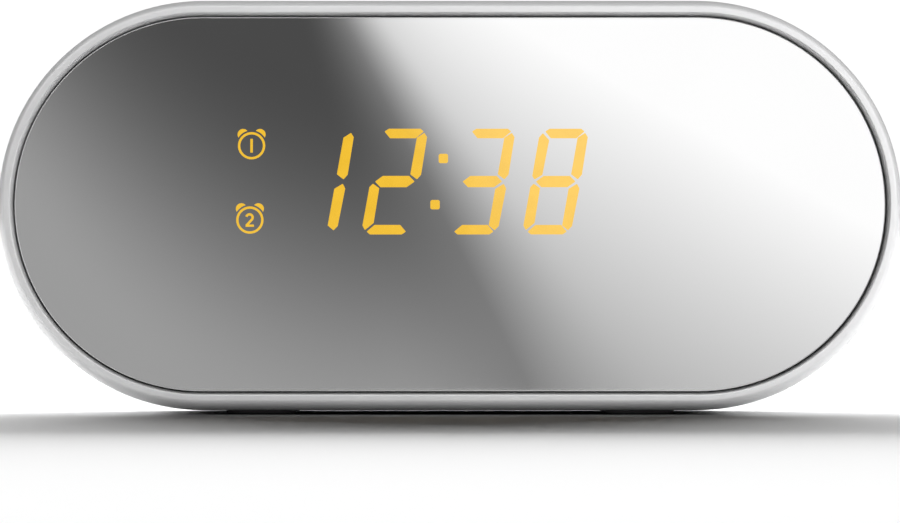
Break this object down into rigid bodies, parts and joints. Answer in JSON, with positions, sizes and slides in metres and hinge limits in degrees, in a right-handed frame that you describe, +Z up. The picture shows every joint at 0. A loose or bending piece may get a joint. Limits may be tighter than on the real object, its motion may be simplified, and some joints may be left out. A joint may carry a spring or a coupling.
{
  "type": "clock radio",
  "caption": "Mirror-fronted digital clock radio with a stadium-shaped case, a button deck on top, a rear loudspeaker grille and a hinged backup battery door.",
  "frame": {"origin": "on the table, under the middle of the case", "axes": "+X to the viewer's right along the case, +Y from the mirror face to the back, +Z up"},
  "size_m": [0.178, 0.05, 0.0828],
  "materials": {
    "case_silver": "satin light silver-grey moulded plastic",
    "mirror_face": "polished mirror, flush and frameless inside the rim",
    "foam": "black foam tape",
    "deck_grey": "matt mid-grey plastic",
    "button_silver": "satin silver-white plastic",
    "rubber": "matt black rubber",
    "circuit_board": "green solder mask",
    "chip_black": "matt black",
    "black_plastic": "satin black plastic",
    "amber_acrylic": "lit amber, frosted",
    "tin_plate": "tin-plated steel",
    "ribbon_film": "grey flat cable",
    "speaker_metal": "zinc-grey pressed steel",
    "speaker_paper": "matt black pulp",
    "cell_jacket": "plain printed metal jacket with no marks",
    "steel": "bright zinc plate"
  },
  "bodies": {
    "root": {"front_bezel": "case_silver", "mirror_panel": "mirror_face", "mirror_gasket": "foam", "main_shell": "case_silver", "rear_cover": "case_silver", "battery_tray": "black_plastic", "backup_cell_1": "cell_jacket", "backup_cell_2": "cell_jacket", "cell_spring_1": "steel", "cell_spring_2": "steel", "button_deck": "deck_grey", "button_board": "circuit_board", "display_reflector": "black_plastic", "display_board": "circuit_board", "display_ribbon": "ribbon_film", "main_board": "circuit_board", "tuner_shield": "tin_plate", "clock_chip": "chip_black", "amplifier_chip": "chip_black", "filter_capacitor_1": "chip_black", "filter_capacitor_2": "chip_black", "dc_inlet": "black_plastic", "antenna_gland": "rubber", "speaker_basket": "speaker_metal", "speaker_magnet": "speaker_metal", "speaker_cone": "speaker_paper", "hours_tens_light_guide": "amber_acrylic", "hours_units_light_guide": "amber_acrylic", "colon_light_guide": "amber_acrylic", "minutes_tens_light_guide": "amber_acrylic", "minutes_units_light_guide": "amber_acrylic", "alarm_1_light_guide": "amber_acrylic", "alarm_2_light_guide": "amber_acrylic", "snooze_switch": "chip_black", "volume_down_switch": "chip_black", "volume_up_switch": "chip_black", "alarm_1_switch": "chip_black", "alarm_2_switch": "chip_black", "tuning_down_switch": "chip_black", "tuning_up_switch": "chip_black", "set_time_switch": "chip_black", "radio_power_switch": "chip_black", "foot_front_left": "rubber", "foot_front_right": "rubber", "foot_rear_left": "rubber", "foot_rear_right": "rubber", "cover_screw_lower_left": "steel", "cover_screw_lower_right": "steel", "cover_screw_upper_left": "steel", "cover_screw_upper_right": "steel"},
    "snooze_bar_body": {"snooze_bar": "button_silver"},
    "volume_down_button_body": {"volume_down_button": "button_silver"},
    "volume_up_button_body": {"volume_up_button": "button_silver"},
    "alarm_1_button_body": {"alarm_1_button": "button_silver"},
    "alarm_2_button_body": {"alarm_2_button": "button_silver"},
    "tuning_down_button_body": {"tuning_down_button": "button_silver"},
    "tuning_up_button_body": {"tuning_up_button": "button_silver"},
    "set_time_button_body": {"set_time_button": "button_silver"},
    "radio_power_button_body": {"radio_power_button": "button_silver"},
    "battery_door_body": {"battery_door": "case_silver"}
  },
  "joints": [
    {"name": "snooze_bar_press", "type": "slide", "parent": "root", "child": "snooze_bar_body", "axis": [0, 0, -1], "range_m": [0, 0.0006], "stiffness_N_per_m": 4000},
    {"name": "volume_down_button_press", "type": "slide", "parent": "root", "child": "volume_down_button_body", "axis": [0, 0, -1], "range_m": [0, 0.0006], "stiffness_N_per_m": 2500},
    {"name": "volume_up_button_press", "type": "slide", "parent": "root", "child": "volume_up_button_body", "axis": [0, 0, -1], "range_m": [0, 0.0006], "stiffness_N_per_m": 2500},
    {"name": "alarm_1_button_press", "type": "slide", "parent": "root", "child": "alarm_1_button_body", "axis": [0, 0, -1], "range_m": [0, 0.0006], "stiffness_N_per_m": 2500},
    {"name": "alarm_2_button_press", "type": "slide", "parent": "root", "child": "alarm_2_button_body", "axis": [0, 0, -1], "range_m": [0, 0.0006], "stiffness_N_per_m": 2500},
    {"name": "tuning_down_button_press", "type": "slide", "parent": "root", "child": "tuning_down_button_body", "axis": [0, 0, -1], "range_m": [0, 0.0006], "stiffness_N_per_m": 2500},
    {"name": "tuning_up_button_press", "type": "slide", "parent": "root", "child": "tuning_up_button_body", "axis": [0, 0, -1], "range_m": [0, 0.0006], "stiffness_N_per_m": 2500},
    {"name": "set_time_button_press", "type": "slide", "parent": "root", "child": "set_time_button_body", "axis": [0, 0, -1], "range_m": [0, 0.0006], "stiffness_N_per_m": 2500},
    {"name": "radio_power_button_press", "type": "slide", "parent": "root", "child": "radio_power_button_body", "axis": [0, 0, -1], "range_m": [0, 0.0006], "stiffness_N_per_m": 2500},
    {"name": "battery_door_hinge", "type": "hinge", "parent": "root", "child": "battery_door_body", "pos_m": [-0.044, 0.0242, 0.0278], "axis": [-1, 0, 0], "range_deg": [0, 100]}
  ]
}
